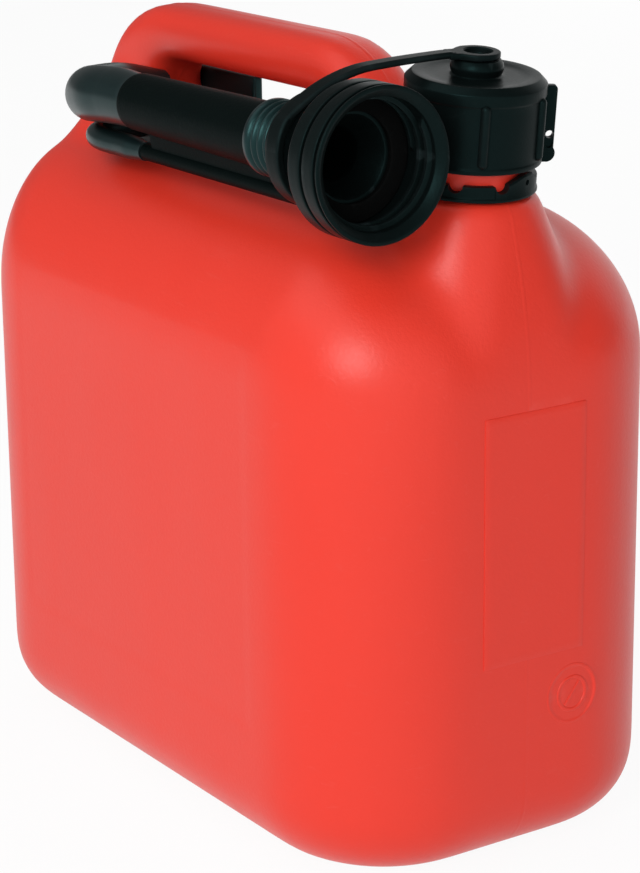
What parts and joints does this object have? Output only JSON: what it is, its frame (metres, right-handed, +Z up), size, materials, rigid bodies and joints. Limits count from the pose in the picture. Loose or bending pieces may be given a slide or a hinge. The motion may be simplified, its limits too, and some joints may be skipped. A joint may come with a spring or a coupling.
{
  "type": "fuel can",
  "caption": "Red plastic fuel can with moulded carrying handle, black screw cap on a tether strap, and a stowed pouring spout with an air tube.",
  "frame": {"origin": "middle of the flat base", "axes": "+Z up, +X along the can towards the neck, -Y towards the stowed spout"},
  "size_m": [0.243, 0.1385, 0.2521],
  "materials": {
    "red_plastic": "satin",
    "black_plastic": "satin",
    "rubber": "matt"
  },
  "bodies": {
    "can": {"can_body": "red_plastic", "neck_ring": "black_plastic", "spout_holder": "black_plastic", "strap_band": "black_plastic"},
    "cap_carrier": {"strap_eyelet": "black_plastic"},
    "cap": {"cap": "black_plastic", "cap_gasket": "rubber"},
    "spout": {"spout_collar": "black_plastic", "spout_gasket": "rubber", "spout_bellows": "black_plastic", "spout_tube": "black_plastic", "vent_tube": "black_plastic", "strap_ring": "black_plastic"}
  },
  "joints": [
    {"name": "cap_rise", "type": "slide", "parent": "can", "child": "cap_carrier", "axis": [0.1045, 0, 0.9945], "range_m": [0, 0.0081], "deforming": ["strap_band"]},
    {"name": "cap_turn", "type": "hinge", "parent": "cap_carrier", "child": "cap", "pos_m": [0.09279, 0, 0.23029], "axis": [0.1045, 0, 0.9945], "range_deg": [0, 720]},
    {"name": "spout_slide", "type": "slide", "parent": "can", "child": "spout", "axis": [1, 0, 0], "range_m": [0, 0.016], "deforming": ["strap_band"]}
  ],
  "couplings": [
    {"joint": "cap_rise", "follows": "cap_turn", "m_per_rad": 0.00063662}
  ]
}
